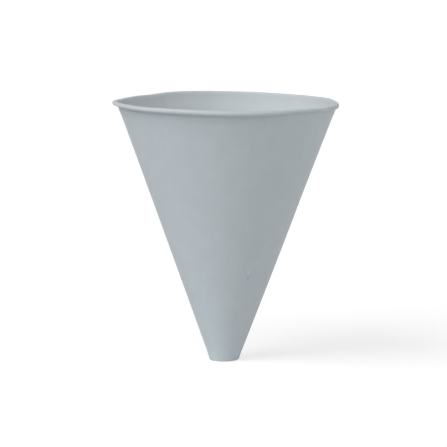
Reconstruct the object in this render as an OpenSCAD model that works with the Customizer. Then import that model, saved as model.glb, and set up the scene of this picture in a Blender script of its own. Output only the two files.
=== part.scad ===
// Rolled-rim paper cone cup with a blunt tip.
// One sheet of paper, wrapped into a cone, lapped and glued along one side,
// with its lower end pressed into a small flat tip and its upper edge rolled outwards.
// Millimetres, +Z up, origin at the middle of the tip's flat end.

/* [Cup] */
// Diameter over the rolled rim
rim_d = 98.5; // [70:0.5:120]
// Height from the flat end of the tip to the top of the rim
cup_h = 113.5; // [90:0.5:140]
// Diameter of the blunt tip, measured where the line of the wall meets the table
tip_d = 12.2; // [8:0.1:18]

/* [Paper] */
// Thickness of the sheet
paper_t = 0.3; // [0.2:0.02:0.36]
// Width of the glued lap, measured at the rim
lap_w = 7; // [4:0.5:12]
// Direction in which the inner edge of the lap faces
seam_angle = 128; // [0:1:359]

/* [Rolled rim] */
// Outer radius of the roll
curl_r = 1.05; // [0.8:0.05:1.5]
// Gap between the tucked edge of the sheet and the wall
tuck_gap = 0.1; // [0.06:0.02:0.16]
// Angle that the tucked edge turns through inside the roll
tuck_turn = 200; // [150:5:240]

/* [Tip] */
// Outer radius of the bend from the wall to the floor
bend_r = 0.9; // [0.6:0.05:1.5]
// Thickness of the floor, where the end of the sheet is folded in and pressed flat
floor_t = 0.6; // [0.4:0.05:1]

/* [Hidden] */
// Facets round the cup, and round the small arcs of the section
cup_facets = 144;
arc_facets = 48;
// Centre of the roll, and the point where the line of the wall meets the table
roll = [rim_d / 2 - curl_r, cup_h - curl_r];
foot = [tip_d / 2, 0];
// Half angle of the cone: the line of the outer wall runs from foot past the roll
roll_reach = norm(roll - foot);
half_angle = atan2(roll.x - foot.x, roll.y - foot.y) - asin((curl_r - paper_t) / roll_reach);
// Centre of the bend, which is tangent to the table and to the line of the wall
bend = [foot.x - bend_r * tan(45 - half_angle / 2), bend_r];
// Length of straight wall between the bend and the roll
wall_l = (roll - bend) * [sin(half_angle), cos(half_angle)];
// Centre of the roll in the wall's own frame: x across the sheet, y up the wall
roll_x = bend_r - paper_t + curl_r;
// Radius of the tucked turn, which clears the wall by the gap
tuck_r = curl_r - paper_t - tuck_gap;
// Half the step that one sheet thickness makes at the lap, measured level
half_step = round(paper_t / cos(half_angle) * 500) / 1000;
step = 2 * half_step;
// Small step left where the two halves of the wrap meet, so that their faces don't graze
join_step = 0.01;
// Angle of the lap round the axis
lap_angle = lap_w / (PI * rim_d) * 360;
paper_colour = [0.75, 0.78, 0.80];

// Part of a flat ring of paper, from one angle clockwise through a turn of under 360 degrees
module paper_arc(r, from, turn) {
    reach = 2 * r;
    steps = ceil(turn / 60);
    intersection() {
        difference() {
            circle(r, $fn = arc_facets);
            circle(r - paper_t, $fn = arc_facets);
        }
        polygon([[0, 0], for (i = [0:steps])
            reach * [cos(from - turn * i / steps), sin(from - turn * i / steps)]]);
    }
}

// Places a shape that is drawn in the wall's own frame
module on_wall() translate(bend) rotate(-half_angle) children();

// Section of the floor, which fills the bend up to its own thickness
module floor_section(shift) intersection() {
    square([bend.x + shift + bend_r, floor_t]);
    union() {
        square([bend.x + shift, floor_t]);
        translate([bend.x + shift, bend.y]) circle(bend_r - paper_t / 2, $fn = arc_facets);
    }
}

// Section of the sheet, from the middle of the tip to its tucked edge in the roll
module sheet_section(shift) {
    floor_section(shift);
    translate([shift, 0]) on_wall() {
        paper_arc(bend_r, 0, 90 - half_angle);
        translate([bend_r - paper_t, 0]) square([paper_t, wall_l]);
        translate([roll_x, wall_l]) paper_arc(curl_r, 180, 270);
        translate([roll_x, wall_l - curl_r + tuck_r]) paper_arc(tuck_r, 270, tuck_turn);
    }
}

// Section of the outer layer of the lap, glued to the layer under it and rolled up with it
module lap_section() {
    sheet_section(step);
    on_wall() translate([bend_r - paper_t / 2, 0]) square([paper_t, wall_l]);
    for (shift = [0, step])
        translate([shift, 0]) on_wall()
            translate([roll_x, wall_l]) circle(curl_r - paper_t / 2, $fn = arc_facets);
}

// Turns a section about the axis from one angle through another
module turned(from, turn) rotate(from) rotate_extrude(angle = turn, $fn = cup_facets) children();

// The wrapped sheet. Half of it is turned about an axis that is half a step off centre,
// so it climbs by one sheet thickness and ends on top of its own beginning.
module paper_cone() color(paper_colour) rotate(seam_angle) {
    turned(0, 180) sheet_section(0);
    translate([half_step, 0, 0]) turned(180, 180) sheet_section(half_step + join_step);
    turned(0, lap_angle) lap_section();
}

paper_cone();
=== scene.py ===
"""Dresses the cone paper cup: one wrapped sheet of paper with a rolled rim, on a plain pale floor."""

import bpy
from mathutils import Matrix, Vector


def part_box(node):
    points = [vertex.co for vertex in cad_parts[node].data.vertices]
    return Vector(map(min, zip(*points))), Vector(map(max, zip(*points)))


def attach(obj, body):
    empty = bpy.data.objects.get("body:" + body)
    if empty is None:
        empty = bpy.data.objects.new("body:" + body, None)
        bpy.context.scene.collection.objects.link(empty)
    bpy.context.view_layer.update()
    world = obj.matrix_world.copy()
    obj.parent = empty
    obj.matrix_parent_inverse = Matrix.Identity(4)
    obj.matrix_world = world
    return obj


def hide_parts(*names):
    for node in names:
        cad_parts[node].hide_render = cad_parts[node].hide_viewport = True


bl_info = {
    "name": "Paper Cone Cup",
    "version": (1, 0, 0),
    "blender": (4, 5, 0),
    "location": "3D View > Sidebar > Paper Cone",
    "description": "Builds a rolled-rim paper cone cup and the plain studio stage that it stands on",
    "category": "Add Mesh",
}

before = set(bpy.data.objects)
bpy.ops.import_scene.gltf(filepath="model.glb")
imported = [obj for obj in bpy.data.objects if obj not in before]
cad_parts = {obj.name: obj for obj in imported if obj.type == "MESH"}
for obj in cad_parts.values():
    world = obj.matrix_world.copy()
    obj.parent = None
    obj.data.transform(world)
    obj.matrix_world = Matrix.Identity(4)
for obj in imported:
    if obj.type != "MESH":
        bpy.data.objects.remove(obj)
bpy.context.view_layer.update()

import math
from typing import NamedTuple

import bpy
import numpy as np
from bpy.props import FloatProperty, FloatVectorProperty, PointerProperty
from mathutils import Matrix, Vector

CUP_NODE = "paper_cone"
CUP_BODY = "root"
MM = 0.001

NODE_LOW, NODE_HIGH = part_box(CUP_NODE)

# Side of the square photograph in pixels, and the sensor width that the lens is given for
PHOTO_SIDE = 447
SENSOR_WIDTH = 36.0


class RimDip(NamedTuple):
    """A place where the rim dips: the direction it faces, its half width and its share of the depth.

    A share under 0 is a place where the rim stands up a little instead.
    """

    facing: float
    half_width: float
    share: float


class WallWave(NamedTuple):
    """A slow wave of the wall: its share, its waves round the cup, its twist up the wall and its swell.

    Heights go from 0 at the table to 1 at the rim, and the two starts are angles.
    """

    share: float
    waves: int
    twist: float
    start: float
    swell: float
    swell_start: float


class RollPucker(NamedTuple):
    """A run of puckers round the roll: its share, their number, and how they stray from even places."""

    share: float
    number: int
    stray: float
    stray_number: int
    stray_start: float


class SoftLight(NamedTuple):
    """A soft light far away: its turn to the right of the camera, its height, and how wide it looks.

    All three are angles.
    """

    azimuth: float
    elevation: float
    width: float


class PaperNoise(NamedTuple):
    """A noise texture of the paper: its scale, the number of its finer layers and their strength."""

    scale: float
    detail: float
    roughness: float


class PaperFace(NamedTuple):
    """Finish of one side of the sheet."""

    name: str
    colour: tuple
    cloudiness: float
    fibre_depth: float
    roughness: float


# Material slots of the sheet's sides, and the name of its flat map
OUTER_FACE, CUT_EDGE, INNER_FACE = range(3)
SHEET_MAP = "flat_sheet"
# Angle between faces above which their edge is sharp
SHARP_ANGLE = math.radians(40)

# Finish of the paper, and how much coarser its cut edges are
PAPER_SPECULAR = 0.15
CUT_ROUGHNESS = 0.9
CUT_COARSENESS = 2

# Paper seen close. Clouds, grains and fibres are counted per metre of the sheet
CLOUD_NOISE = PaperNoise(150.0, 5.0, 0.6)
GRAIN_NOISE = PaperNoise(4000.0, 2.0, 0.6)
LONG_FIBRES = (500, 1100)
CROSS_FIBRES = (1500, 700)
FIBRE_WIDTH = 0.03
FIBRE_CURL = 0.6
FIBRE_TURN = math.radians(25)
FIBRE_SHARE = 0.8
FIBRE_TONE = 0.25
ROUGHNESS_BASE = 0.85
ROUGHNESS_SHARE = 0.2
# Noise of fibres and wrinkles, whose places are scaled first, and the value that noise has on average
LINE_NOISE = PaperNoise(1.0, 1.0, 0.5)
NOISE_MIDDLE = 0.5

# Wrinkles in the roll, counted per radian of the flat sheet and per metre along it
WRINKLES_ROUND = 110.0
WRINKLES_ALONG = 150.0
WRINKLE_SHARE = 5.0
ROLL_FADE = 1 * MM
# Painted shade: share by which the colour of the roll is darkened, to tone down how bright the lights make
# it
ROLL_PAINTED_SHADE = 0.05

KEY_LIGHT = SoftLight(math.radians(-55), math.radians(45), math.radians(50))
FRONT_LIGHT = SoftLight(math.radians(20), math.radians(30), math.radians(60))
FILL_LIGHT = SoftLight(math.radians(105), math.radians(10), math.radians(30))
# White of the open floor, with a little to spare for the grain of a render
WHITE = 1.02
FLOOR_HALF_WIDTH = 8.0
CAMERA_NEAR = 0.05
CAMERA_FAR = 50.0

# Directions that the two ends of the rim face, as the camera sees them
RIGHT = 0.0
LEFT = math.pi
# Half width of the stretches at the two ends of the rim where the roll is pressed
PRESS_HALF_WIDTH = math.radians(35)
# Direction and half width of the stretch at the front right where the roll is tighter
TIGHT_FACING = math.radians(-38)
TIGHT_HALF_WIDTH = math.radians(26)
# Share of the stretch under the roll over which the wall turns in again to meet it
FLARE_TURN_IN = 0.4
# Share of the roll's radius over which the puckers begin beside the wall
PUCKER_FADE = 0.8
# Heights over which the corner of the tip and the slant of its end fade up the wall,
# and the share of the corner that its right side has
TIP_CORNER_HEIGHT = 0.9 * MM
TIP_CORNER_RIGHT = 0.35
TIP_TILT_HEIGHT = 6 * MM
# Lowest and highest place of the bow in the right side of the wall
WALL_BOW_SPAN = (8 * MM, 92 * MM)
# Share of the height above which the wall follows the dips of the rim
LIFT_START = 0.55
# Shares of the height over which the waves of the wall fade at its foot and at its top
SWAY_FADE_LOW = 0.08
SWAY_FADE_HIGH = 0.05
WALL_WAVES = (
    WallWave(0.65, 2, 3.1, 0.6, 2.3, 0.4),
    WallWave(0.35, 5, -5.2, 2.1, 4.1, -1.2),
)
ROLL_PUCKERS = (
    RollPucker(0.6, 11, 0.7, 3, 0.0),
    RollPucker(0.4, 37, 1.9, 5, 0.8),
)
# The dent's lean to the left as it rises, its half width, and the places and half heights of its
# hollow and of the ridge above it
DENT_LEAN = 0.2
DENT_HALF_WIDTH = 0.6 * MM
HOLLOW_BELOW = 0.4 * MM
HOLLOW_HALF_HEIGHT = 1.2 * MM
RIDGE_ABOVE = 1.6 * MM
RIDGE_HALF_HEIGHT = 0.8 * MM
RIDGE_SHARE = 0.7
RIM_DIPS = (
    RimDip(math.radians(160), math.radians(24), 1.0),
    RimDip(math.radians(-5), math.radians(22), 0.6),
    RimDip(math.radians(50), math.radians(32), 0.28),
    RimDip(math.radians(135), math.radians(8), 0.42),
    RimDip(math.radians(110), math.radians(18), -0.24),
    RimDip(math.radians(21), math.radians(8), -0.26),
    RimDip(math.radians(-33), math.radians(16), 0.34),
    RimDip(math.radians(-78), math.radians(13), 0.22),
    RimDip(math.radians(-119), math.radians(13), -0.16),
)


class PaperConeSizes(bpy.types.PropertyGroup):
    """Sizes of the wrapped sheet"""

    rim_diameter: FloatProperty(
        name="Rim diameter",
        description="Diameter over the rolled rim, at the inner layer of the sheet",
        default=-2 * NODE_LOW.x,
        subtype="DISTANCE",
    )
    cup_height: FloatProperty(
        name="Height",
        description="Height from the flat end of the tip to the top of the rim",
        default=NODE_HIGH.z,
        subtype="DISTANCE",
    )
    tip_diameter: FloatProperty(
        name="Tip diameter",
        description="Diameter of the blunt tip, where the line of the wall meets the table",
        default=12.2 * MM,
        subtype="DISTANCE",
    )
    paper_thickness: FloatProperty(
        name="Paper thickness",
        description="Thickness of the sheet",
        default=0.3 * MM,
        subtype="DISTANCE",
    )
    lap_width: FloatProperty(
        name="Lap width",
        description="Width of the glued lap, measured at the rim",
        default=7 * MM,
        subtype="DISTANCE",
    )
    seam_angle: FloatProperty(
        name="Seam angle",
        description="Direction in which the inner edge of the lap faces",
        default=math.radians(128),
        subtype="ANGLE",
    )
    roll_radius: FloatProperty(
        name="Roll radius",
        description="Outer radius of the rolled rim in section",
        default=1.05 * MM,
        subtype="DISTANCE",
    )
    tuck_gap: FloatProperty(
        name="Tuck gap",
        description="Gap between the tucked edge of the sheet and the wall",
        default=0.1 * MM,
        subtype="DISTANCE",
    )
    tuck_turn: FloatProperty(
        name="Tuck turn",
        description="Angle that the tucked edge turns through inside the roll",
        default=math.radians(200),
        subtype="ANGLE",
    )
    bend_radius: FloatProperty(
        name="Tip bend",
        description="Outer radius of the bend from the wall to the floor of the tip",
        default=0.9 * MM,
        subtype="DISTANCE",
    )
    floor_thickness: FloatProperty(
        name="Tip floor",
        description="Thickness of the folded and pressed floor of the tip",
        default=0.6 * MM,
        subtype="DISTANCE",
    )


class PaperConeHandling(bpy.types.PropertyGroup):
    """How far the sheet is from a perfect cone"""

    rim_dip: FloatProperty(
        name="Rim dip",
        description="Depth of the deepest of the gentle dips in the rolled rim",
        default=0.85 * MM,
        subtype="DISTANCE",
    )
    rim_flare: FloatProperty(
        name="Rim flare",
        description="How far the wall bells out just under the roll",
        default=0.25 * MM,
        subtype="DISTANCE",
    )
    roll_lean: FloatProperty(
        name="Roll lean",
        description="Share by which the roll is wider on the left, and narrower on the right",
        default=0.12,
        min=0,
        max=0.3,
        subtype="FACTOR",
    )
    roll_press: FloatProperty(
        name="Roll press",
        description="Share by which the roll is pressed in at its right end",
        default=0.28,
        min=0,
        max=0.5,
        subtype="FACTOR",
    )
    roll_flat: FloatProperty(
        name="Roll flat",
        description="Share by which the roll is pressed flatter at its left end",
        default=0.2,
        min=0,
        max=0.3,
        subtype="FACTOR",
    )
    roll_tight: FloatProperty(
        name="Roll tightness",
        description="Share by which the roll is lower at the front right",
        default=0.36,
        min=0,
        max=0.5,
        subtype="FACTOR",
    )
    tip_corner: FloatProperty(
        name="Tip corner",
        description="How far the corner of the tip stands out on the left",
        default=0.55 * MM,
        subtype="DISTANCE",
    )
    tip_tilt: FloatProperty(
        name="Tip tilt",
        description="How far the right side of the tip's end is off the table",
        default=0.2 * MM,
        subtype="DISTANCE",
    )
    wall_bow: FloatProperty(
        name="Wall bow",
        description="How far the wall bows out on the right",
        default=0.2 * MM,
        subtype="DISTANCE",
    )
    roll_pucker: FloatProperty(
        name="Roll pucker",
        description="Depth of the small puckers that rolling leaves in the rim",
        default=0.02 * MM,
        subtype="DISTANCE",
    )
    wall_sway: FloatProperty(
        name="Wall sway",
        description="Depth of the slow hollows and swells in the wall",
        default=0.08 * MM,
        subtype="DISTANCE",
    )
    dent_depth: FloatProperty(
        name="Dent depth",
        description="Depth of the small dent low on the wall",
        default=0.82 * MM,
        subtype="DISTANCE",
    )
    dent_height: FloatProperty(
        name="Dent height",
        description="Height of the dent above the table",
        default=39.0 * MM,
        subtype="DISTANCE",
    )
    dent_angle: FloatProperty(
        name="Dent angle",
        description="Direction in which the dent faces",
        default=math.radians(299.2),
        subtype="ANGLE",
    )


class PaperFinish(bpy.types.PropertyGroup):
    """Colour and surface of the paper, with painted light in the colour of its inner face"""

    paper_colour: FloatVectorProperty(
        name="Paper",
        description="Colour of the face outside the cup",
        default=(0.517, 0.573, 0.606),
        size=3,
        min=0,
        max=1,
        subtype="COLOR",
    )
    # Painted light: the inner face is the same paper as the outer face, given a lighter, warmer colour to
    # stand in for the warmer light inside the cup and round the roll.
    inner_colour_with_painted_light: FloatVectorProperty(
        name="Inner face",
        description="Colour of the face inside the cup, which also goes round the roll",
        default=(0.559, 0.599, 0.624),
        size=3,
        min=0,
        max=1,
        subtype="COLOR",
    )
    edge_colour: FloatVectorProperty(
        name="Cut edge",
        description="Colour of the sheet's cut edges, where the loose fibres show",
        default=(0.60, 0.63, 0.64),
        size=3,
        min=0,
        max=1,
        subtype="COLOR",
    )
    cloudiness: FloatProperty(
        name="Cloudiness",
        description="How much the tone of the sheet varies from place to place",
        default=0.11,
        min=0,
        max=1,
        subtype="FACTOR",
    )
    fibre_depth: FloatProperty(
        name="Fibre depth",
        description="Depth of the fibres in the surface of the sheet",
        default=0.011 * MM,
        subtype="DISTANCE",
    )
    roughness: FloatProperty(
        name="Roughness",
        description="Roughness of the sheet's faces",
        default=0.62,
        min=0,
        max=1,
        subtype="FACTOR",
    )


class ConeStage(bpy.types.PropertyGroup):
    """Floor, light and camera"""

    floor_colour: FloatVectorProperty(
        name="Floor",
        description="Colour of the floor",
        default=(0.8, 0.8, 0.8),
        size=3,
        min=0,
        max=1,
        subtype="COLOR",
    )
    shadow_depth: FloatProperty(
        name="Shadow depth",
        description="How much of the shade on the floor the camera sees; the rest of the floor is white",
        default=0.5,
        min=0,
        max=1,
        subtype="FACTOR",
    )
    room_light: FloatProperty(
        name="Room light",
        description="Even light of the room, where 1 shows a colour as it is",
        default=0.151,
        min=0,
    )
    key_light: FloatProperty(
        name="Key light",
        description="Wide soft light high on the left, where 1 shows a facing colour as it is",
        default=0.738,
        min=0,
    )
    front_light: FloatProperty(
        name="Front light",
        description="Weak soft light in front, where 1 shows a facing colour as it is",
        default=0.189,
        min=0,
    )
    fill_light: FloatProperty(
        name="Fill light",
        description="Weak soft light low on the right, where 1 shows a facing colour as it is",
        default=0.199,
        min=0,
    )
    camera_distance: FloatProperty(
        name="Camera distance",
        description="Distance from the camera to the middle of the cup",
        default=1.2,
        subtype="DISTANCE",
    )
    camera_elevation: FloatProperty(
        name="Camera elevation",
        description="Angle at which the camera looks down on the middle of the cup",
        default=math.radians(7.85),
        subtype="ANGLE",
    )
    camera_roll: FloatProperty(
        name="Camera roll",
        description="Turn of the camera about its own line of sight",
        default=math.radians(0.58),
        subtype="ANGLE",
    )
    camera_focus: FloatVectorProperty(
        name="Middle of the cup",
        description="Point that the camera's distance and elevation are measured from",
        default=(0.0, 0.0, 55 * MM),
        size=3,
        subtype="TRANSLATION",
    )
    camera_aim: FloatVectorProperty(
        name="Aim",
        description="Point that is in the middle of the picture",
        default=(-0.92 * MM, 0.69 * MM, 59.84 * MM),
        size=3,
        subtype="TRANSLATION",
    )
    focal_pixels: FloatProperty(
        name="Focal length",
        description="Focal length of the lens in pixels of the photograph",
        default=2759.0,
        min=1,
    )


def smooth_step(values):
    """Eases from 0 to 1 as values go from 0 to 1."""
    held = np.clip(values, 0, 1)
    return held * held * (3 - 2 * held)


def turn_between(start, facing):
    """Turn from one direction to others, the short way round."""
    return (facing - start + math.pi) % math.tau - math.pi


def stretch_shape(facing, middle, half_width):
    """Goes from 1 in the middle of a stretch round the cup to almost 0 at twice its half width."""
    return np.exp(-(turn_between(middle, facing) / half_width) ** 2)


def facing_share(facing, towards):
    """Goes from 0, facing away from a direction, to 1, facing it."""
    return 0.5 + 0.5 * np.cos(facing - towards)


def arc(centre, radius, start, turn, count):
    """Points of an arc from one angle through a turn, anticlockwise if the turn is positive."""
    angles = np.linspace(start, start + turn, count)
    return np.column_stack((centre[0] + radius * np.cos(angles), centre[1] + radius * np.sin(angles)))


class SheetSection:
    """Section of the sheet in the half plane through the axis.

    The path runs along the whole skin of the sheet: out under the floor of the tip, up the
    outer face of the wall, into the roll to the tucked edge, back round the outside of the
    roll, down the inner face and over the floor to the axis. Each point has a radius, a
    height, the share of the outer layer's step that it takes where the sheet laps, and its
    slant, which is how far along the flat sheet it is from the point of the cone.
    """

    FLOOR_ROWS = 7
    BEND_ROWS = 9
    WALL_ROWS = 40
    HIDDEN_ROWS = 12
    ROLL_ROWS = 40
    DENT_REACH = 3.2 * MM
    DENT_ROWS = 17
    FLARE_REACH = 7 * MM
    FLARE_ROWS = 8
    # Turn of the roll, from the wall over the top and round to its lowest place
    ROLL_TURN = 1.5 * math.pi
    # The outside of the roll keeps the outer layer's step from here to 0, and loses it from 0 to 1
    EASE_FROM = -0.5
    # Rows with a larger share of the outer layer's step than this are outside the lap
    OUTSIDE_SHARE = 0.5

    def __init__(self, sizes, handling):
        self.radius = sizes.roll_radius
        self.paper = sizes.paper_thickness
        self.roll_centre = np.array((sizes.rim_diameter / 2 - self.radius, sizes.cup_height - self.radius))
        foot = np.array((sizes.tip_diameter / 2, 0.0))
        reach = self.roll_centre - foot
        lean = math.asin((self.radius - self.paper) / np.hypot(*reach))
        self.half_angle = math.atan2(*reach) - lean
        bend_inset = sizes.bend_radius * math.tan(math.pi / 4 - self.half_angle / 2)
        self.bend = np.array((foot[0] - bend_inset, sizes.bend_radius))
        self.across = np.array((math.cos(self.half_angle), -math.sin(self.half_angle)))
        self.along = np.array((math.sin(self.half_angle), math.cos(self.half_angle)))
        self.wall_length = float((self.roll_centre - self.bend) @ self.along)
        self.points = []
        self.outer_share = []
        self.trace(sizes, handling)
        self.slant = self.measure_slant()
        self.roll_start = self.slant[self.foot_row] + self.wall_length

    def on_wall(self, points):
        """Places points that are given across and along the wall."""
        points = np.asarray(points)
        return self.bend + np.outer(points[:, 0], self.across) + np.outer(points[:, 1], self.along)

    def add(self, points, outer_share):
        """Adds a stretch of the path, with its share of the outer layer's step."""
        shares = np.broadcast_to(outer_share, len(points))
        self.points.extend(points)
        self.outer_share.extend(shares)

    def wall_places(self, handling):
        """Distances up the wall at which it has a row, close together at the dent and the flare."""
        even = np.linspace(0, self.wall_length, self.WALL_ROWS)
        dent = (handling.dent_height - self.bend[1]) / self.along[1]
        near_dent = np.linspace(dent - self.DENT_REACH, dent + self.DENT_REACH, self.DENT_ROWS)
        near_roll = np.linspace(self.wall_length - self.FLARE_REACH, self.wall_length, self.FLARE_ROWS)
        kept = [y for y in even if abs(y - dent) > self.DENT_REACH and y < near_roll[0]]
        return np.sort(np.concatenate((kept, near_dent, near_roll)))[1:-1]

    def trace(self, sizes, handling):
        """Lays the whole path."""
        bend_radius = sizes.bend_radius
        inner_bend = bend_radius - self.paper
        roll_at = np.array((inner_bend + self.radius, self.wall_length))
        tuck_radius = self.radius - self.paper - sizes.tuck_gap
        tuck_at = roll_at + (0, tuck_radius - self.radius)
        down = -math.pi / 2
        to_wall = math.pi / 2 - self.half_angle
        places = self.wall_places(handling)
        wall_up = np.column_stack((np.full(len(places), bend_radius), places))
        wall_down = np.column_stack((np.full(len(places), inner_bend), places[::-1]))
        under = np.linspace(0, self.bend[0], self.FLOOR_ROWS + 1)[1:-1]
        self.add(np.column_stack((under, np.zeros(len(under)))), 1)
        self.add(self.on_wall(arc((0, 0), bend_radius, -to_wall, to_wall, self.BEND_ROWS)), 1)
        self.foot_row = len(self.points) - 1
        self.add(self.on_wall(wall_up), 1)
        into_roll = arc(roll_at, self.radius - self.paper, math.pi, -self.ROLL_TURN, self.HIDDEN_ROWS)
        into_tuck = arc(tuck_at, tuck_radius - self.paper, down, -sizes.tuck_turn, self.HIDDEN_ROWS)
        from_tuck = arc(tuck_at, tuck_radius, down - sizes.tuck_turn, sizes.tuck_turn, self.HIDDEN_ROWS)
        first_rolled = len(self.points)
        self.add(self.on_wall(into_roll), 1)
        self.add(self.on_wall(into_tuck[1:]), 1)
        self.cut_row = len(self.points) - 1
        self.add(self.on_wall(from_tuck), 1)
        round_roll = arc(roll_at, self.radius, down, self.ROLL_TURN, self.ROLL_ROWS)
        turned = np.linspace(self.EASE_FROM, 1, self.ROLL_ROWS)
        self.roll_rows = slice(len(self.points), len(self.points) + self.ROLL_ROWS - 1)
        self.add(self.on_wall(round_roll[1:]), (1 - smooth_step(turned))[1:])
        self.rolled_rows = slice(first_rolled, len(self.points))
        self.add(self.on_wall(wall_down), 0)
        floor_dip = math.asin((bend_radius - sizes.floor_thickness) / inner_bend) - self.half_angle
        inner_arc = self.on_wall(arc((0, 0), inner_bend, 0, -floor_dip, self.BEND_ROWS // 2))
        self.add(inner_arc, 0)
        over = np.linspace(inner_arc[-1][0], 0, self.FLOOR_ROWS + 1)[1:-1]
        self.add(np.column_stack((over, np.full(len(over), sizes.floor_thickness))), 0)
        self.points = np.array(self.points)
        self.outer_share = np.array(self.outer_share)

    def measure_slant(self):
        """Distance of each point from the point of the cone, along the face that it belongs to."""
        steps = np.hypot(*np.diff(self.points, axis=0).T)
        run = self.points[0][0] + np.concatenate(((0.0,), np.cumsum(steps)))
        from_axis = np.minimum(run, run[-1] + self.points[-1][0] - run)
        foot_slant = self.points[self.foot_row][0] / math.sin(self.half_angle)
        return from_axis - from_axis[self.foot_row] + foot_slant


class SheetWrap:
    """Columns round the cup, from the inner edge of the lap once round to the same place.

    Each column has its angle from the inner edge, and how far the outer and the inner face
    of the sheet stand out there, because the sheet ends on top of its own beginning.
    """

    LAP_COLUMNS = 10
    EVEN_COLUMNS = 380
    DENT_COLUMNS = 25
    DENT_REACH = math.radians(4)
    EDGE_WIDTH = 0.03 * MM

    def __init__(self, sizes, handling, section):
        edge = self.EDGE_WIDTH / (sizes.rim_diameter / 2)
        lap = sizes.lap_width / (sizes.rim_diameter / 2)
        step = sizes.paper_thickness / math.cos(section.half_angle)
        dent = (handling.dent_angle - sizes.seam_angle) % math.tau
        in_lap = np.linspace(0, lap, self.LAP_COLUMNS)
        even = np.linspace(lap + edge, math.tau - edge, self.EVEN_COLUMNS)
        near_dent = np.linspace(dent - self.DENT_REACH, dent + self.DENT_REACH, self.DENT_COLUMNS)
        apart = even[abs(even - dent) > self.DENT_REACH]
        single = np.sort(np.concatenate((apart, near_dent)))
        climb = np.where(single > math.pi, (1 + np.cos(single)) * step / 2, 0)
        self.angles = np.concatenate((in_lap, single))
        self.outer = np.concatenate((np.full(self.LAP_COLUMNS, step), climb))
        self.inner = np.concatenate((np.zeros(self.LAP_COLUMNS), climb))
        # The face after this column is the free edge outside, and the face after the last column
        # the edge inside
        self.outer_edge = self.LAP_COLUMNS - 1
        self.inner_edge = len(self.angles) - 1


def rim_dip_shape(facing):
    """How far the rim dips round the cup, as a share of its deepest dip."""
    return sum(dip.share * stretch_shape(facing, dip.facing, dip.half_width) for dip in RIM_DIPS)


def wall_sway_shape(facing, up):
    """Shape of the slow hollows and swells of the wall, from about -1 to 1. up is from 0 to 1."""
    total = 0
    for wave in WALL_WAVES:
        round_cup = np.sin(wave.waves * facing + wave.twist * up + wave.start)
        total += wave.share * (round_cup * np.cos(wave.swell * up + wave.swell_start))
    return total


def roll_pucker_shape(facing):
    """Shape of the small puckers round the roll, from about -1 to 1."""
    total = 0
    for pucker in ROLL_PUCKERS:
        stray = pucker.stray * np.sin(pucker.stray_number * facing + pucker.stray_start)
        total += pucker.share * np.sin(pucker.number * facing + stray)
    return total


def sheet_vertices(sizes, handling, section, wrap):
    """Places of the sheet's vertices, as an array of columns by rows by three."""
    radius = section.points[:, 0][None, :]
    height = section.points[:, 1][None, :]
    share = section.outer_share[None, :]
    facing = (wrap.angles + sizes.seam_angle)[:, None]
    up = height / sizes.cup_height
    off_axis = np.clip(radius / section.bend[0], 0, 1)
    stand_out = (share * wrap.outer[:, None] + (1 - share) * wrap.inner[:, None]) * off_axis
    top_part = smooth_step((up - LIFT_START) / (1 - LIFT_START))
    lift = -handling.rim_dip * rim_dip_shape(facing) * top_part
    below_roll = (section.roll_centre[1] - height) / section.FLARE_REACH
    flare = handling.rim_flare * flare_shape(below_roll)
    wall_part = smooth_step(up / SWAY_FADE_LOW) * smooth_step((1 - up) / SWAY_FADE_HIGH)
    sway = handling.wall_sway * wall_sway_shape(facing, up) * wall_part
    bow = handling.wall_bow * wall_bow_shape(facing, height)
    dent = handling.dent_depth * dent_shape(handling, facing, height, radius)
    corner = handling.tip_corner * tip_corner_shape(facing, height) * off_axis
    out = radius + stand_out + flare + sway + bow + corner - dent
    tilt = handling.tip_tilt * tip_tilt_shape(radius * np.cos(facing) / section.bend[0], height)
    rise = height + lift + tilt
    lean_roll(handling, section, facing, out)
    flatten_roll(handling, section, facing, rise)
    pucker_roll(handling, section, facing, out, rise)
    return np.stack((out * np.cos(facing), out * np.sin(facing), rise), axis=2)


def tip_corner_shape(facing, height):
    """Shape of the corner that stands out at the foot of the tip, most on the left."""
    share = TIP_CORNER_RIGHT + (1 - TIP_CORNER_RIGHT) * facing_share(facing, LEFT) ** 2
    return share * np.exp(-height / TIP_CORNER_HEIGHT)


def tip_tilt_shape(across, height):
    """Shape of the tip's slanted end, from 0 on its left, where across is -1, to 1 on its right."""
    return (0.5 + 0.5 * np.clip(across, -1, 1)) * np.exp(-height / TIP_TILT_HEIGHT)


def wall_bow_shape(facing, height):
    """Shape of the long bow in the wall, which is widest half way up its span, on the right."""
    low, high = WALL_BOW_SPAN
    place = np.clip((height - low) / (high - low), 0, 1)
    return facing_share(facing, RIGHT) ** 2 * np.sin(math.pi * place) ** 2


def flare_shape(below_roll):
    """Shape of the wall under the roll: it bells out, and turns in again to meet the roll."""
    return smooth_step(1 - below_roll) * smooth_step(below_roll / FLARE_TURN_IN)


def dent_shape(handling, facing, height, radius):
    """Shape of the small dent: a short upright hollow with a low ridge above it."""
    above = height - handling.dent_height
    aside = turn_between(handling.dent_angle, facing) * radius + DENT_LEAN * above
    across = (aside / DENT_HALF_WIDTH) ** 2
    hollow = np.exp(-across - ((above + HOLLOW_BELOW) / HOLLOW_HALF_HEIGHT) ** 2)
    ridge = np.exp(-across - ((above - RIDGE_ABOVE) / RIDGE_HALF_HEIGHT) ** 2)
    return hollow - RIDGE_SHARE * ridge


def lean_roll(handling, section, facing, out):
    """Widens the roll on the left and narrows it on the right, away from the inner face of the wall."""
    rows = section.rolled_rows
    inner = out[:, rows.stop - 1][:, None].copy()
    pressed = handling.roll_press * stretch_shape(facing, RIGHT, PRESS_HALF_WIDTH)
    wider = -handling.roll_lean * np.cos(facing) - pressed
    out[:, rows] += (out[:, rows] - inner) * wider


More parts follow.
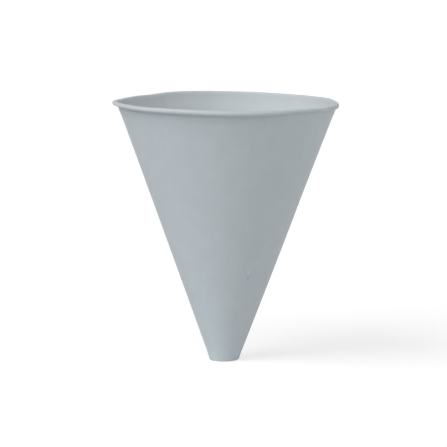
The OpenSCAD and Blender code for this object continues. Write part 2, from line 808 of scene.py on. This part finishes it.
def flatten_roll(handling, section, facing, rise):
    """Makes the roll lower at its left end and at the front right, from below, so that its top stays."""
    rows = section.rolled_rows
    top = rise[:, rows].max(axis=1)[:, None]
    flatter = handling.roll_flat * stretch_shape(facing, LEFT, PRESS_HALF_WIDTH)
    tighter = handling.roll_tight * stretch_shape(facing, TIGHT_FACING, TIGHT_HALF_WIDTH)
    rise[:, rows] += (top - rise[:, rows]) * (flatter + tighter)


def pucker_roll(handling, section, facing, out, rise):
    """Moves the outside of the roll in and out along its own radius by the puckers."""
    rows = section.roll_rows
    away = section.points[rows] - section.roll_centre
    away = away / np.hypot(away[:, 0], away[:, 1])[:, None]
    fade = smooth_step((1 + away @ section.across) / PUCKER_FADE)
    depth = handling.roll_pucker * roll_pucker_shape(facing) * fade[None, :]
    out[:, rows] += depth * away[:, 0][None, :]
    rise[:, rows] += depth * away[:, 1][None, :]


def sheet_faces(columns, rows):
    """Faces between the columns, and fans to the two points on the axis, in column order."""
    floor_point = columns * rows
    top_point = floor_point + 1
    faces = []
    for column in range(columns):
        here = column * rows
        there = (column + 1) % columns * rows
        faces.append((floor_point, there, here))
        for row in range(rows - 1):
            faces.append((here + row, there + row, there + row + 1, here + row + 1))
        faces.append((here + rows - 1, there + rows - 1, top_point))
    return faces


def face_finishes(section, wrap, columns, rows):
    """For each face, the material slot of the side of the sheet that it is on."""
    finishes = np.full((columns, rows + 1), OUTER_FACE)
    finishes[:, section.cut_row + 1] = CUT_EDGE
    finishes[:, section.cut_row + 2 :] = INNER_FACE
    outside = np.concatenate(((True,), section.outer_share > section.OUTSIDE_SHARE))
    finishes[wrap.outer_edge, outside] = CUT_EDGE
    finishes[wrap.inner_edge, ~outside] = CUT_EDGE
    return finishes.ravel()


def flat_sheet_map(mesh, section, wrap, rows):
    """Gives each corner its place on the flat sheet, in metres from the point of the cone."""
    turn = wrap.angles * math.sin(section.half_angle)
    places = np.zeros((len(mesh.vertices), 2))
    ways = (np.outer(np.cos(turn), section.slant), np.outer(np.sin(turn), section.slant))
    grid = np.stack(ways, axis=2)
    places[: len(turn) * rows] = grid.reshape(-1, 2)
    corners = np.empty(len(mesh.loops), dtype=np.int32)
    mesh.loops.foreach_get("vertex_index", corners)
    layer = mesh.uv_layers.new(name=SHEET_MAP)
    layer.uv.foreach_set("vector", places[corners].astype(np.float32).ravel())


def make_sheet(sizes, handling, section):
    """The wrapped sheet as a mesh, with a material slot for each of its sides."""
    wrap = SheetWrap(sizes, handling, section)
    grid = sheet_vertices(sizes, handling, section, wrap)
    columns, rows = grid.shape[:2]
    middle = handling.tip_tilt / 2
    axis_points = ((0.0, 0.0, middle), (0.0, 0.0, middle + sizes.floor_thickness))
    vertices = np.concatenate((grid.reshape(-1, 3), axis_points))
    mesh = bpy.data.meshes.new("wrapped_sheet")
    mesh.from_pydata(vertices.tolist(), [], sheet_faces(columns, rows))
    finishes = face_finishes(section, wrap, columns, rows)
    mesh.polygons.foreach_set("material_index", finishes.astype(np.int32))
    flat_sheet_map(mesh, section, wrap, rows)
    mesh.shade_smooth()
    mesh.set_sharp_from_angle(angle=SHARP_ANGLE)
    mesh.update()
    return mesh


def add_node(tree, kind, place, **values):
    """Adds a node at a place and sets its properties and the values of its named inputs."""
    node = tree.nodes.new(kind)
    node.location = place
    for name, value in values.items():
        if hasattr(node, name):
            setattr(node, name, value)
        else:
            node.inputs[name.replace("_", " ")].default_value = value
    return node


def add_math(tree, place, operation, *values, clamp=False):
    """Adds a math node of plain numbers and other nodes' outputs, and returns its output."""
    node = add_node(tree, "ShaderNodeMath", place, operation=operation, use_clamp=clamp)
    for socket, value in zip(node.inputs, values):
        if isinstance(value, bpy.types.NodeSocket):
            tree.links.new(value, socket)
        else:
            socket.default_value = value
    return node.outputs[0]


def add_noise(tree, place, vector, noise, distortion=0.0):
    """Adds a noise texture that is read at a vector, and returns its value."""
    texture = add_node(tree, "ShaderNodeTexNoise", place, Scale=noise.scale, Detail=noise.detail)
    texture.inputs["Roughness"].default_value = noise.roughness
    texture.inputs["Distortion"].default_value = distortion
    tree.links.new(vector, texture.inputs["Vector"])
    return texture.outputs["Fac"]


def add_fibres(tree, place, sheet, scale, turn):
    """Adds fine curling lines across the sheet, and returns a mask that is 1 on a line."""
    x, y = place
    lay = add_node(tree, "ShaderNodeMapping", place, Rotation=(0, 0, turn), Scale=(*scale, 1))
    tree.links.new(sheet, lay.inputs["Vector"])
    noise = add_noise(tree, (x + 200, y), lay.outputs["Vector"], LINE_NOISE, FIBRE_CURL)
    centred = add_math(tree, (x + 300, y), "SUBTRACT", noise, NOISE_MIDDLE)
    off_line = add_math(tree, (x + 400, y), "ABSOLUTE", centred)
    return add_math(tree, (x + 500, y), "MULTIPLY_ADD", off_line, -1 / FIBRE_WIDTH, 1.0, clamp=True)


def add_slant(tree, place, sheet):
    """Adds the distance from the point of the cone along the flat sheet, and returns it."""
    slant = add_node(tree, "ShaderNodeVectorMath", place, operation="LENGTH")
    tree.links.new(sheet, slant.inputs[0])
    return slant.outputs["Value"]


def add_wrinkles(tree, place, sheet, slant):
    """Adds short wrinkles that run up the sheet, such as rolling leaves, and returns their height."""
    x, y = place
    parts = add_node(tree, "ShaderNodeSeparateXYZ", place)
    tree.links.new(sheet, parts.inputs[0])
    turn = add_math(tree, (x + 200, y + 80), "ARCTAN2", parts.outputs["Y"], parts.outputs["X"])
    round_sheet = add_math(tree, (x + 400, y + 80), "MULTIPLY", turn, WRINKLES_ROUND)
    along_sheet = add_math(tree, (x + 400, y - 80), "MULTIPLY", slant, WRINKLES_ALONG)
    spread = add_node(tree, "ShaderNodeCombineXYZ", (x + 600, y))
    tree.links.new(round_sheet, spread.inputs["X"])
    tree.links.new(along_sheet, spread.inputs["Y"])
    return add_noise(tree, (x + 800, y), spread.outputs[0], LINE_NOISE)


def paper_fibre_group(roll_start):
    """Node group of paper seen close: its cloudy tone, fibres, roughness, wrinkles and painted shade in
    the roll.
    """
    tree = bpy.data.node_groups.new("paper_fibre", "ShaderNodeTree")
    for name in ("Place", "Sheet"):
        tree.interface.new_socket(name, in_out="INPUT", socket_type="NodeSocketVector")
    tree.interface.new_socket("Cloudiness", in_out="INPUT", socket_type="NodeSocketFloat")
    for name in ("Tone", "Height", "Roughness"):
        tree.interface.new_socket(name, in_out="OUTPUT", socket_type="NodeSocketFloat")
    source = add_node(tree, "NodeGroupInput", (-1500, 0))
    result = add_node(tree, "NodeGroupOutput", (700, 0))
    place = source.outputs["Place"]
    sheet = source.outputs["Sheet"]
    cloud = add_noise(tree, (-1200, 400), place, CLOUD_NOISE)
    grain = add_noise(tree, (-1200, 200), place, GRAIN_NOISE)
    long_way = add_fibres(tree, (-1200, 0), sheet, LONG_FIBRES, FIBRE_TURN)
    cross_way = add_fibres(tree, (-1200, -200), sheet, CROSS_FIBRES, -FIBRE_TURN)
    slant = add_slant(tree, (-1200, -700), sheet)
    past_wall = add_math(tree, (-1000, -700), "SUBTRACT", slant, roll_start)
    rolled = add_math(tree, (-800, -700), "DIVIDE", past_wall, ROLL_FADE, clamp=True)
    creased = add_wrinkles(tree, (-1200, -450), sheet, slant)
    wrinkle = add_math(tree, (-200, -450), "MULTIPLY", creased, rolled)
    fibre = add_math(tree, (-500, 0), "MAXIMUM", long_way, cross_way)
    face = add_math(tree, (-300, 0), "MULTIPLY_ADD", fibre, FIBRE_SHARE, grain)
    height = add_math(tree, (100, -100), "MULTIPLY_ADD", wrinkle, WRINKLE_SHARE, face)
    flecked = add_math(tree, (-100, 300), "MULTIPLY_ADD", fibre, FIBRE_TONE, cloud)
    centred = add_math(tree, (100, 300), "SUBTRACT", flecked, NOISE_MIDDLE)
    clouded = add_math(tree, (300, 300), "MULTIPLY_ADD", centred, source.outputs["Cloudiness"], 1.0)
    # Painted shade: the colour is darkened over the roll
    roll_painted_shade = add_math(tree, (300, 500), "MULTIPLY_ADD", rolled, -ROLL_PAINTED_SHADE, 1.0)
    tone = add_math(tree, (500, 300), "MULTIPLY", clouded, roll_painted_shade)
    rough = add_math(tree, (300, 100), "MULTIPLY_ADD", face, ROUGHNESS_SHARE, ROUGHNESS_BASE)
    tree.links.new(tone, result.inputs["Tone"])
    tree.links.new(height, result.inputs["Height"])
    tree.links.new(rough, result.inputs["Roughness"])
    return tree


def paper_faces(finish):
    """Finishes of the sheet's sides, in the order of their material slots."""
    cloudiness = finish.cloudiness
    depth = finish.fibre_depth
    cut_cloudiness = CUT_COARSENESS * cloudiness
    cut_depth = CUT_COARSENESS * depth
    return (
        PaperFace("white_paper", finish.paper_colour, cloudiness, depth, finish.roughness),
        PaperFace("cut_paper", finish.edge_colour, cut_cloudiness, cut_depth, CUT_ROUGHNESS),
        # Painted light: the inner face and the roll take the lighter, warmer inner colour.
        PaperFace("inner_paper", finish.inner_colour_with_painted_light, cloudiness, depth, finish.roughness),
    )


def paper_material(face, fibres):
    """Paper of one side of the sheet, with the shared fibres driving its tone, roughness and bump."""
    material = bpy.data.materials.new(face.name)
    material.use_nodes = True
    tree = material.node_tree
    shader = tree.nodes["Principled BSDF"]
    shader.inputs["Specular IOR Level"].default_value = PAPER_SPECULAR
    place = add_node(tree, "ShaderNodeTexCoord", (-1100, 0))
    sheet = add_node(tree, "ShaderNodeUVMap", (-1100, -300), uv_map=SHEET_MAP)
    paper = add_node(tree, "ShaderNodeGroup", (-850, 0), node_tree=fibres)
    paper.inputs["Cloudiness"].default_value = face.cloudiness
    tree.links.new(place.outputs["Object"], paper.inputs["Place"])
    tree.links.new(sheet.outputs["UV"], paper.inputs["Sheet"])
    tint = add_node(tree, "ShaderNodeVectorMath", (-500, 200), operation="SCALE")
    tint.inputs[0].default_value = face.colour
    tree.links.new(paper.outputs["Tone"], tint.inputs["Scale"])
    tree.links.new(tint.outputs[0], shader.inputs["Base Color"])
    shine = add_math(tree, (-500, 0), "MULTIPLY", paper.outputs["Roughness"], face.roughness)
    tree.links.new(shine, shader.inputs["Roughness"])
    bump = add_node(tree, "ShaderNodeBump", (-500, -250), Strength=1.0, Distance=face.fibre_depth)
    tree.links.new(paper.outputs["Height"], bump.inputs["Height"])
    tree.links.new(bump.outputs["Normal"], shader.inputs["Normal"])
    return material


def seen_directly(tree, place):
    """Output that is 1 for what the camera sees, directly, in a reflection or through glass."""
    x, y = place
    rays = add_node(tree, "ShaderNodeLightPath", place).outputs
    mirrored = add_math(tree, (x + 180, y), "MAXIMUM", rays["Is Glossy Ray"], rays["Is Transmission Ray"])
    return add_math(tree, (x + 360, y), "MAXIMUM", rays["Is Camera Ray"], mirrored)


def floor_material(stage):
    """Pale matte floor that is white to the camera where nothing shades it, and keeps the shadow."""
    material = bpy.data.materials.new("pale_floor")
    material.use_nodes = True
    tree = material.node_tree
    shader = tree.nodes["Principled BSDF"]
    shader.inputs["Roughness"].default_value = 1.0
    shader.inputs["Specular IOR Level"].default_value = 0.0
    shader.inputs["Emission Color"].default_value = (1, 1, 1, 1)
    seen = seen_directly(tree, (-960, -200))
    shown = [stage.shadow_depth * channel for channel in stage.floor_colour]
    colour = add_node(tree, "ShaderNodeMix", (-300, 100), data_type="RGBA")
    colour.inputs["A"].default_value = (*stage.floor_colour, 1)
    colour.inputs["B"].default_value = (*shown, 1)
    tree.links.new(seen, colour.inputs["Factor"])
    tree.links.new(colour.outputs["Result"], shader.inputs["Base Color"])
    lift = WHITE - max(shown) * light_on_floor(stage)
    glow = add_math(tree, (-300, -200), "MULTIPLY", seen, lift)
    tree.links.new(glow, shader.inputs["Emission Strength"])
    return material


def light_on_floor(stage):
    """Light that reaches the open floor, where 1 shows a colour as it is."""
    key = stage.key_light * math.sin(KEY_LIGHT.elevation)
    front = stage.front_light * math.sin(FRONT_LIGHT.elevation)
    fill = stage.fill_light * math.sin(FILL_LIGHT.elevation)
    return stage.room_light + key + front + fill


def make_floor(stage):
    """A wide level floor under the cup."""
    half = FLOOR_HALF_WIDTH
    corners = [(-half, -half, 0), (half, -half, 0), (half, half, 0), (-half, half, 0)]
    mesh = bpy.data.meshes.new("floor")
    mesh.from_pydata(corners, [], [(0, 1, 2, 3)])
    mesh.materials.append(floor_material(stage))
    floor = bpy.data.objects.new("floor", mesh)
    bpy.context.scene.collection.objects.link(floor)


def make_room(stage):
    """Even light from the room, and white where the camera looks past the floor."""
    world = bpy.data.worlds.new("white_room")
    bpy.context.scene.world = world
    world.use_nodes = True
    tree = world.node_tree
    room = tree.nodes["Background"]
    room.inputs["Color"].default_value = (1, 1, 1, 1)
    white = add_node(tree, "ShaderNodeBackground", (0, -200), Color=(1, 1, 1, 1), Strength=1.0)
    room.inputs["Strength"].default_value = stage.room_light
    mix = add_node(tree, "ShaderNodeMixShader", (220, 0))
    tree.links.new(seen_directly(tree, (-560, 300)), mix.inputs[0])
    tree.links.new(room.outputs[0], mix.inputs[1])
    tree.links.new(white.outputs[0], mix.inputs[2])
    tree.links.new(mix.outputs[0], tree.nodes["World Output"].inputs["Surface"])


def direction(azimuth, elevation):
    """Direction from the cup to what stands at a turn to the right of the camera and at a height."""
    level = math.cos(elevation)
    return Vector((math.sin(azimuth) * level, -math.cos(azimuth) * level, math.sin(elevation)))


def make_light(name, light, strength):
    """A wide soft light far away. A strength of 1 shows a facing surface in its own colour."""
    lamp = bpy.data.lights.new(name, "SUN")
    lamp.angle = light.width
    lamp.energy = strength * math.pi
    holder = bpy.data.objects.new(name, lamp)
    away = direction(light.azimuth, light.elevation)
    holder.location = away
    holder.rotation_euler = (-away).to_track_quat("-Z", "Y").to_euler()
    bpy.context.scene.collection.objects.link(holder)


def make_camera(stage):
    """A long lens at the height and angle of the photograph."""
    data = bpy.data.cameras.new("photo_camera")
    data.sensor_fit = "HORIZONTAL"
    data.sensor_width = SENSOR_WIDTH
    data.lens = stage.focal_pixels * SENSOR_WIDTH / PHOTO_SIDE
    data.clip_start = CAMERA_NEAR
    data.clip_end = CAMERA_FAR
    camera = bpy.data.objects.new("photo_camera", data)
    away = direction(0, stage.camera_elevation)
    place = Vector(stage.camera_focus) + away * stage.camera_distance
    sight = (Vector(stage.camera_aim) - place).to_track_quat("-Z", "Y").to_matrix()
    turned = sight @ Matrix.Rotation(stage.camera_roll, 3, "Z")
    camera.matrix_world = Matrix.Translation(place) @ turned.to_4x4()
    bpy.context.scene.collection.objects.link(camera)
    bpy.context.scene.camera = camera


class WrapPaperCone(bpy.types.Operator):
    """Wrap the sheet of paper into the cone cup, with its lap, rolled rim and blunt tip"""

    bl_idname = "scene.wrap_paper_cone"
    bl_label = "Wrap Paper Cone"

    def execute(self, context):
        sizes = context.scene.paper_cone_sizes
        handling = context.scene.paper_cone_handling
        section = SheetSection(sizes, handling)
        mesh = make_sheet(sizes, handling, section)
        fibres = paper_fibre_group(section.roll_start)
        for face in paper_faces(context.scene.paper_finish):
            mesh.materials.append(paper_material(face, fibres))
        cup = bpy.data.objects.new("wrapped_paper_cone", mesh)
        context.scene.collection.objects.link(cup)
        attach(cup, CUP_BODY)
        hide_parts(CUP_NODE)
        return {"FINISHED"}


class SetConeStage(bpy.types.Operator):
    """Set the pale floor, the soft lights and the camera"""

    bl_idname = "scene.set_cone_stage"
    bl_label = "Set Stage"

    def execute(self, context):
        stage = context.scene.cone_stage
        context.scene.view_settings.view_transform = "Standard"
        make_floor(stage)
        make_room(stage)
        make_light("key_light", KEY_LIGHT, stage.key_light)
        make_light("front_light", FRONT_LIGHT, stage.front_light)
        make_light("fill_light", FILL_LIGHT, stage.fill_light)
        make_camera(stage)
        return {"FINISHED"}


class PaperConePanel(bpy.types.Panel):
    """Sidebar panel of the cup and its stage"""

    bl_idname = "VIEW3D_PT_paper_cone"
    bl_label = "Paper Cone"
    bl_space_type = "VIEW_3D"
    bl_region_type = "UI"
    bl_category = "Paper Cone"

    def draw(self, context):
        groups = (
            (WrapPaperCone, ("paper_cone_sizes", "paper_cone_handling", "paper_finish")),
            (SetConeStage, ("cone_stage",)),
        )
        for operator, names in groups:
            box = self.layout.box()
            for name in names:
                settings = getattr(context.scene, name)
                for key in settings.__annotations__:
                    box.prop(settings, key)
            box.operator(operator.bl_idname)


SETTINGS = {
    "paper_cone_sizes": PaperConeSizes,
    "paper_cone_handling": PaperConeHandling,
    "paper_finish": PaperFinish,
    "cone_stage": ConeStage,
}
CLASSES = (*SETTINGS.values(), WrapPaperCone, SetConeStage, PaperConePanel)


def register():
    for kind in CLASSES:
        bpy.utils.register_class(kind)
    for name, kind in SETTINGS.items():
        setattr(bpy.types.Scene, name, PointerProperty(type=kind))


def unregister():
    for name in SETTINGS:
        delattr(bpy.types.Scene, name)
    for kind in reversed(CLASSES):
        bpy.utils.unregister_class(kind)


def main():
    register()
    bpy.ops.scene.wrap_paper_cone()
    bpy.ops.scene.set_cone_stage()


if __name__ == "__main__":
    main()
